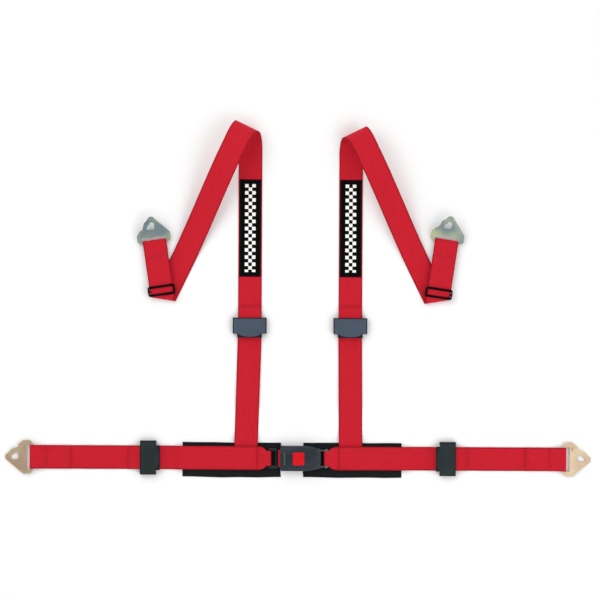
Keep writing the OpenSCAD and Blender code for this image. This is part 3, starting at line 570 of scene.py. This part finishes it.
def chequered_taffeta():
    """A jacquard patch is smooth and slightly shiny, with fine cross threads. Threads are drawn at 1.2 mm."""
    material, tree, shader = new_material("chequered_taffeta")
    place = add(tree, "UVMap", uv_map="weave").outputs["UV"]
    split = add(tree, "SeparateXYZ", {"Vector": place})
    across = add(tree, "Math", {0: split.outputs["X"], 1: CHECK * CHECK_COLUMNS / 2}, operation="ADD").outputs[0]
    mapped = add(tree, "CombineXYZ", {"X": across, "Y": split.outputs["Y"], "Z": 0.001}).outputs[0]
    checks = add(tree, "TexChecker", {"Vector": mapped, "Scale": 1 / CHECK}).outputs["Fac"]
    sideways = add(tree, "Math", {0: split.outputs["X"]}, operation="ABSOLUTE").outputs[0]
    inside = add(tree, "Math", {0: sideways, 1: CHECK * CHECK_COLUMNS / 2}, operation="LESS_THAN").outputs[0]
    past = add(tree, "Math", {0: split.outputs["Y"], 1: 0.010}, operation="GREATER_THAN").outputs[0]
    before = add(tree, "Math", {0: split.outputs["Y"], 1: 0.1971}, operation="LESS_THAN").outputs[0]
    band = add(tree, "Math", {0: past, 1: before}, operation="MULTIPLY").outputs[0]
    band = add(tree, "Math", {0: band, 1: inside}, operation="MULTIPLY").outputs[0]
    white = add(tree, "Math", {0: band, 1: checks}, operation="MULTIPLY").outputs[0]
    tree.links.new(mixed(tree, white, srgb("030304"), srgb("F4F3F0")), shader.inputs["Base Color"])
    threads = add(tree, "Math", {0: split.outputs["Y"], 1: 5200.0}, operation="MULTIPLY").outputs[0]
    fine = add(tree, "Math", {0: threads}, operation="SINE").outputs[0]
    raised = add(tree, "Math", {0: white, 1: fine}, operation="ADD").outputs[0]
    bump = add(tree, "Bump", {"Height": raised, "Strength": 0.4, "Distance": 0.0002})
    tree.links.new(bump.outputs[0], shader.inputs["Normal"])
    shader.inputs["Roughness"].default_value = 0.7
    shader.inputs["Specular IOR Level"].default_value = 0.05
    return material


TAFFETA = chequered_taffeta()

for side, k in SIDES.items():
    low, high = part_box(f"shoulder_patch_{side}")
    middle_x, half_w = (low.x + high.x) / 2, (high.x - low.x) / 2
    steps = 60
    rings = [(Vector((middle_x, low.y + (high.y - low.y) * i / steps, (low.z + high.z) / 2)),
              Vector((half_w, 0, 0))) for i in range(steps + 1)]
    patch = ribbon(f"chequered_patch_{side}", rings, thickness=high.z - low.z, material=TAFFETA)
    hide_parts(f"shoulder_patch_{side}")
    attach(patch, f"shoulder_strap_{side}")
    inset = 2.2 * MM
    middle = Vector((middle_x, (low.y + high.y) / 2, high.z + LIFT_STITCH / 2))
    box = sewn_box(middle, ACROSS_Y, Vector((1, 0, 0)), high.y - low.y - 2 * inset, 2 * (half_w - inset))
    stitches(f"patch_stitching_{side}", box, f"shoulder_strap_{side}", BLACK_THREAD, 0.3 * MM)

# ---------------------------------------------------------------------------
# Moulded parts: glass-filled nylon, injection moulded, with a fine spark-eroded texture on the faces.
# Each keeps the designed part's own surface, with its sharp edges eased as a mould leaves them.


def refined(name, node, bevel=0.4 * MM, segments=2, angle=32.0):
    """A welded copy of a designed part with eased edges, which replaces it and rides on its body."""
    source = frame["nodes"][node]
    mesh = source.data.copy()
    mesh.name = name
    mesh.materials.clear()
    bm = bmesh.new()
    bm.from_mesh(mesh)
    bmesh.ops.transform(bm, matrix=source.matrix_world, verts=bm.verts)
    bmesh.ops.remove_doubles(bm, verts=bm.verts, dist=0.002 * MM)
    bmesh.ops.dissolve_degenerate(bm, edges=bm.edges, dist=0.002 * MM)
    bmesh.ops.dissolve_limit(bm, verts=bm.verts, edges=bm.edges, angle_limit=math.radians(1.0))
    bmesh.ops.recalc_face_normals(bm, faces=bm.faces)
    for face in bm.faces:
        face.smooth = True
    for edge in bm.edges:
        edge.smooth = len(edge.link_faces) == 2 and edge.calc_face_angle(0.0) < math.radians(angle)
    bm.to_mesh(mesh)
    bm.free()
    piece = bpy.data.objects.new(name, mesh)
    bpy.context.collection.objects.link(piece)
    if bevel:
        ease = piece.modifiers.new("eased edges", "BEVEL")
        ease.width = bevel
        ease.segments = segments
        ease.limit_method = "ANGLE"
        ease.angle_limit = math.radians(angle)
        ease.use_clamp_overlap = True
        ease.harden_normals = True
    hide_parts(node)
    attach(piece, body_of[node])
    return piece


def moulded(name, code, roughness, grain=0.35, scale=1100.0, second=None):
    """Nylon with an eroded texture: small dimples, a little uneven in gloss. Dimples drawn at 0.9 mm."""
    material, tree, shader = new_material(name)
    place = add(tree, "TexCoord").outputs["Object"]
    dimples = add(tree, "TexNoise", {"Vector": place, "Scale": scale, "Detail": 3.0}).outputs["Fac"]
    blotch = add(tree, "TexNoise", {"Vector": place, "Scale": 45.0, "Detail": 3.0}).outputs["Fac"]
    tree.links.new(mixed(tree, blotch, srgb(code), srgb(second or code)), shader.inputs["Base Color"])
    gloss = add(tree, "MapRange", {"Value": blotch, "To Min": roughness - 0.06, "To Max": roughness + 0.06})
    tree.links.new(gloss.outputs[0], shader.inputs["Roughness"])
    shader.inputs["Specular IOR Level"].default_value = 0.3
    bump = add(tree, "Bump", {"Height": dimples, "Strength": grain, "Distance": 0.0002})
    tree.links.new(bump.outputs[0], shader.inputs["Normal"])
    return material


def metal(name, code, second, roughness, scale=240.0, relief=0.12, drift_scale=60.0):
    """Metal with fine wear: its tint and gloss drift over a few millimetres. Scratches drawn at 4 mm."""
    material, tree, shader = new_material(name)
    place = add(tree, "TexCoord").outputs["Object"]
    drift = add(tree, "TexNoise", {"Vector": place, "Scale": drift_scale, "Detail": 1.5}).outputs["Fac"]
    fine = add(tree, "TexNoise", {"Vector": place, "Scale": scale, "Detail": 6.0}).outputs["Fac"]
    sharp = add(tree, "MapRange", {"Value": drift, "From Min": 0.35, "From Max": 0.65}).outputs[0]
    tree.links.new(mixed(tree, sharp, srgb(code), srgb(second)), shader.inputs["Base Color"])
    gloss = add(tree, "MapRange", {"Value": fine, "To Min": roughness - 0.08, "To Max": roughness + 0.08})
    tree.links.new(gloss.outputs[0], shader.inputs["Roughness"])
    bump = add(tree, "Bump", {"Height": fine, "Strength": relief, "Distance": 0.0002})
    tree.links.new(bump.outputs[0], shader.inputs["Normal"])
    shader.inputs["Metallic"].default_value = 1.0
    return material


def finish_parts(material, nodes, bevel=0.4 * MM, segments=2):
    """Refined copies of these parts in one material."""
    for node in nodes:
        piece = refined(f"{node}_finished", node, bevel, segments)
        piece.data.materials.append(material)


BLACK_NYLON = moulded("black_glass_filled_nylon", "0C0E12", 0.42, second="12151A")
SLATE_NYLON = moulded("slate_grey_textured_nylon", "3A4554", 0.5, grain=0.7, second="465262")
DARK_SLATE_NYLON = moulded("dark_slate_textured_nylon", "17211F", 0.45, grain=0.5, second="1E2A2D")
HOUSING_NYLON = moulded("blue_slate_textured_nylon", "1A232A", 0.42, grain=0.4, second="222C35")
GREY_GREEN = moulded("grey_green_nylon", "56604A", 0.5, grain=0.2, second="626C52")
RED_ACETAL = moulded("red_acetal", "C8101C", 0.3, grain=0.1, second="D41722")

finish_parts(HOUSING_NYLON, ["buckle_cover", "buckle_lower_shell"], 0.9 * MM, 3)
finish_parts(RED_ACETAL, ["release_button"], 0.9 * MM, 3)
finish_parts(RED_ACETAL, ["mouth_insert"], 0.3 * MM)
finish_parts(BLACK_NYLON, ["ejector"], 0.3 * MM)
for side in SIDES:
    finish_parts(BLACK_NYLON, [f"lap_adjuster_cover_{side}", f"shoulder_adjuster_cover_{side}"],
                 1.2 * MM, 4)

# ---------------------------------------------------------------------------
# Relief on the mouldings: the slate panel set into each adjuster's cover, which swells over its lift tab,
# and the ridges and plain strip on the buckle. Each is laid on the face of the part that it belongs to.


def laid_on(piece_name, node, outline, height, material, cell=1.5 * MM, bevel=0.25 * MM):
    """A slab with that outline (in plan), standing height above the part's own top face."""
    surface = frame["nodes"][node]
    tree = BVHTree.FromPolygons([surface.matrix_world @ v.co for v in surface.data.vertices],
                                [p.vertices[:] for p in surface.data.polygons])
    bm = bmesh.new()
    face = bm.faces.new([bm.verts.new((x, y, 0)) for x, y in outline])
    xs, ys = [x for x, _ in outline], [y for _, y in outline]
    for low, high, axis in ((min(xs), max(xs), Vector((1, 0, 0))), (min(ys), max(ys), Vector((0, 1, 0)))):
        for i in range(1, max(2, round((high - low) / cell))):
            at = axis * (low + (high - low) * i / max(2, round((high - low) / cell)))
            bmesh.ops.bisect_plane(bm, geom=bm.verts[:] + bm.edges[:] + bm.faces[:], plane_co=at, plane_no=axis,
                                   dist=0.001 * MM)
    for v in bm.verts:
        hit = tree.ray_cast(Vector((v.co.x, v.co.y, 0.1)), Vector((0, 0, -1)))[0]
        v.co.z = (hit.z if hit else 0.0) + height
    made = bmesh.ops.extrude_face_region(bm, geom=bm.faces[:])["geom"]
    bmesh.ops.translate(bm, vec=(0, 0, -height - 0.3 * MM), verts=[v for v in made if isinstance(v, bmesh.types.BMVert)])
    bmesh.ops.recalc_face_normals(bm, faces=bm.faces)
    for face in bm.faces:
        face.smooth = True
    for edge in bm.edges:
        edge.smooth = len(edge.link_faces) == 2 and edge.calc_face_angle(0.0) < 0.6
    mesh = bpy.data.meshes.new(piece_name)
    bm.to_mesh(mesh)
    bm.free()
    mesh.materials.append(material)
    piece = bpy.data.objects.new(piece_name, mesh)
    bpy.context.collection.objects.link(piece)
    ease = piece.modifiers.new("eased edges", "BEVEL")
    ease.width = bevel
    ease.segments = 2
    ease.angle_limit = 0.6
    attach(piece, body_of[node])
    return piece


for side, k in SIDES.items():
    for strap, material in (("lap", DARK_SLATE_NYLON), ("shoulder", SLATE_NYLON)):
        low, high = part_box(f"{strap}_adjuster_cover_{side}")
        # In the cover's own directions: u towards the hook end, v across the webbing
        towards = Vector((k, 0, 0)) if strap == "lap" else Vector((0, 1, 0))
        across = Vector((0, 1, 0)) if strap == "lap" else Vector((1, 0, 0))
        middle = (low + high) / 2
        reach = abs((high - low).dot(towards)) / 2
        wide = abs((high - low).dot(across)) / 2 - 2.2 * MM
        back, front, tab = reach - 2.2 * MM, 8.5 * MM - reach + 0.6 * MM, 2.0 * MM - reach
        bulge = [(front + (tab - front) * math.cos(math.radians(a)), 24 * MM * math.sin(math.radians(a)))
                 for a in range(-90, 91, 10)]
        plan = [(back, wide), (back, -wide), (front, -wide), *bulge, (front, wide)]
        outline = [(middle + towards * u + across * v).xy[:] for u, v in plan]
        laid_on(f"{strap}_adjuster_panel_{side}", f"{strap}_adjuster_cover_{side}", outline, 0.5 * MM, material,
                cell=2.5 * MM)

low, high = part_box("buckle_cover")
rear, cover_y = high.x, (low.y + high.y) / 2
contour = [(rear - 33 * MM, 20.5 * MM), (rear - 22 * MM, 19 * MM), (rear - 12 * MM, 15 * MM), (rear - 5 * MM, 10 * MM),
           (rear - 2.6 * MM, 5 * MM)]
for name, sign in (("upper", 1), ("lower", -1)):
    inner = [(x - 0.5 * MM, y - 1.5 * MM) for x, y in contour][::-1]
    outline = [(x, cover_y + sign * y) for x, y in contour + inner]
    laid_on(f"buckle_ridge_{name}", "buckle_cover", outline, 1.0 * MM, HOUSING_NYLON,
            bevel=0.35 * MM)
strip = low.x + 9.5 * MM


def slab(length, width, x, y):
    """The corners of a rectangle laid along the strip."""
    return [(x - width / 2, y - length / 2), (x + width / 2, y - length / 2),
            (x + width / 2, y + length / 2), (x - width / 2, y + length / 2)]


laid_on("buckle_strip", "buckle_cover", slab(31 * MM, 6.4 * MM, strip, cover_y), 0.12 * MM, BLACK_NYLON,
        bevel=0.05 * MM)
for i in range(9):
    laid_on(f"buckle_strip_bar_{i + 1}", "buckle_cover", slab(1.8 * MM, 3.4 * MM, strip, cover_y + (i - 4) * 3.2 * MM),
            0.35 * MM, GREY_GREEN, bevel=0.08 * MM)

# ---------------------------------------------------------------------------
# Metal parts: plates stamped from 2.5-3 mm steel, tumbled, and plated yellow or green zinc, chrome or black.

CHROME = metal("bright_chrome_plate", "6E7174", "83868A", 0.1, relief=0.02)
YELLOW_ZINC = metal("yellow_zinc_chromate", "D0B698", "E0CBAA", 0.42, relief=0.06, drift_scale=30.0)
GREEN_ZINC = metal("iridescent_zinc_chromate", "76868A", "ABB28E", 0.3, relief=0.04, drift_scale=22.0)
BLACK_STEEL = metal("black_coated_steel", "101113", "1A1B1D", 0.42)
GREY_STEEL = metal("zinc_plated_steel", "8F9397", "A6A9AC", 0.34)
SPRING_STEEL = metal("blued_spring_steel", "5A6068", "6C727A", 0.28)

finish_parts(CHROME, ["tongue"], 0.5 * MM, 3)
finish_parts(GREY_STEEL, ["buckle_base", "anchor_bar", "shell_screws", "latch_rivets"], 0.3 * MM)
finish_parts(SPRING_STEEL, ["latch_leaf"], 0.1 * MM)
for side in SIDES:
    finish_parts(YELLOW_ZINC, [f"lap_hook_plate_{side}"], 0.7 * MM, 3)
    finish_parts(YELLOW_ZINC, [f"lap_hook_gate_{side}"], 0.12 * MM, 1)
    finish_parts(GREEN_ZINC, [f"shoulder_hook_plate_{side}"], 0.7 * MM, 3)
    finish_parts(GREEN_ZINC, [f"shoulder_hook_gate_{side}"], 0.12 * MM, 1)
    finish_parts(YELLOW_ZINC, [f"lap_hook_rivet_{side}"], 0.4 * MM)
    finish_parts(GREEN_ZINC, [f"shoulder_hook_rivet_{side}"], 0.4 * MM)
    finish_parts(BLACK_STEEL, [f"three_bar_slide_{side}"], 0.4 * MM)
    finish_parts(GREY_STEEL, [f"lap_adjuster_frame_{side}", f"shoulder_adjuster_frame_{side}"], 0.4 * MM)
    finish_parts(GREY_STEEL, [f"lap_lock_bar_{side}", f"shoulder_lock_bar_{side}"], 0.15 * MM, 1)
spring = frame["nodes"]["ejector_spring"]
spring.data.materials.clear()
spring.data.materials.append(SPRING_STEEL)

# ---------------------------------------------------------------------------
# The place it lies in: a pale matt floor under a wide soft light, seen from straight above.

floor_mesh = bpy.data.meshes.new("floor")
bm = bmesh.new()
bmesh.ops.create_grid(bm, x_segments=1, y_segments=1, size=6.0)
bm.to_mesh(floor_mesh)
bm.free()
floor = bpy.data.objects.new("floor", floor_mesh)
bpy.context.collection.objects.link(floor)
paper, _, paper_shader = new_material("white_paper")
paper_shader.inputs["Base Color"].default_value = srgb("F4F4F4")
paper_shader.inputs["Roughness"].default_value = 0.9
floor_mesh.materials.append(paper)

# The room is white all round, with the dark ceiling above the camera that flat bright metal mirrors
world = bpy.data.worlds.new("soft_room")
world.use_nodes = True
room = world.node_tree
upwards = add(room, "SeparateXYZ", {"Vector": add(room, "TexCoord").outputs["Generated"]}).outputs["Z"]
ceiling = add(room, "MapRange", {"Value": upwards, "From Min": 0.84, "From Max": 0.93}).outputs[0]
room.links.new(mixed(room, ceiling, (1.0, 1.0, 1.0, 1.0), (0.05, 0.05, 0.055, 1.0)), room.nodes["Background"].inputs["Color"])
room.nodes["Background"].inputs["Strength"].default_value = 1.0
bpy.context.scene.world = world

for name, place, size, power in (("main_softbox", (-1.3, 1.5, 2.2), 2.6, 30.0),
                                 ("fill_softbox", (1.6, -1.2, 2.0), 2.4, 22.0)):
    lamp = bpy.data.lights.new(name, "AREA")
    lamp.size = size
    lamp.energy = power
    holder = bpy.data.objects.new(name, lamp)
    holder.location = place
    holder.rotation_euler = (-Vector(place)).to_track_quat("-Z", "Y").to_euler()
    bpy.context.collection.objects.link(holder)

eye = bpy.data.cameras.new("above")
eye.sensor_width = 36.0
eye.lens = 112.7
camera = bpy.data.objects.new("above", eye)
camera.location = (2.7 * MM, 0.5 * MM, 4.0)
camera.rotation_euler = (0.0, 0.0, math.radians(0.3))
bpy.context.collection.objects.link(camera)
bpy.context.scene.camera = camera
bpy.context.scene.view_settings.view_transform = "Standard"
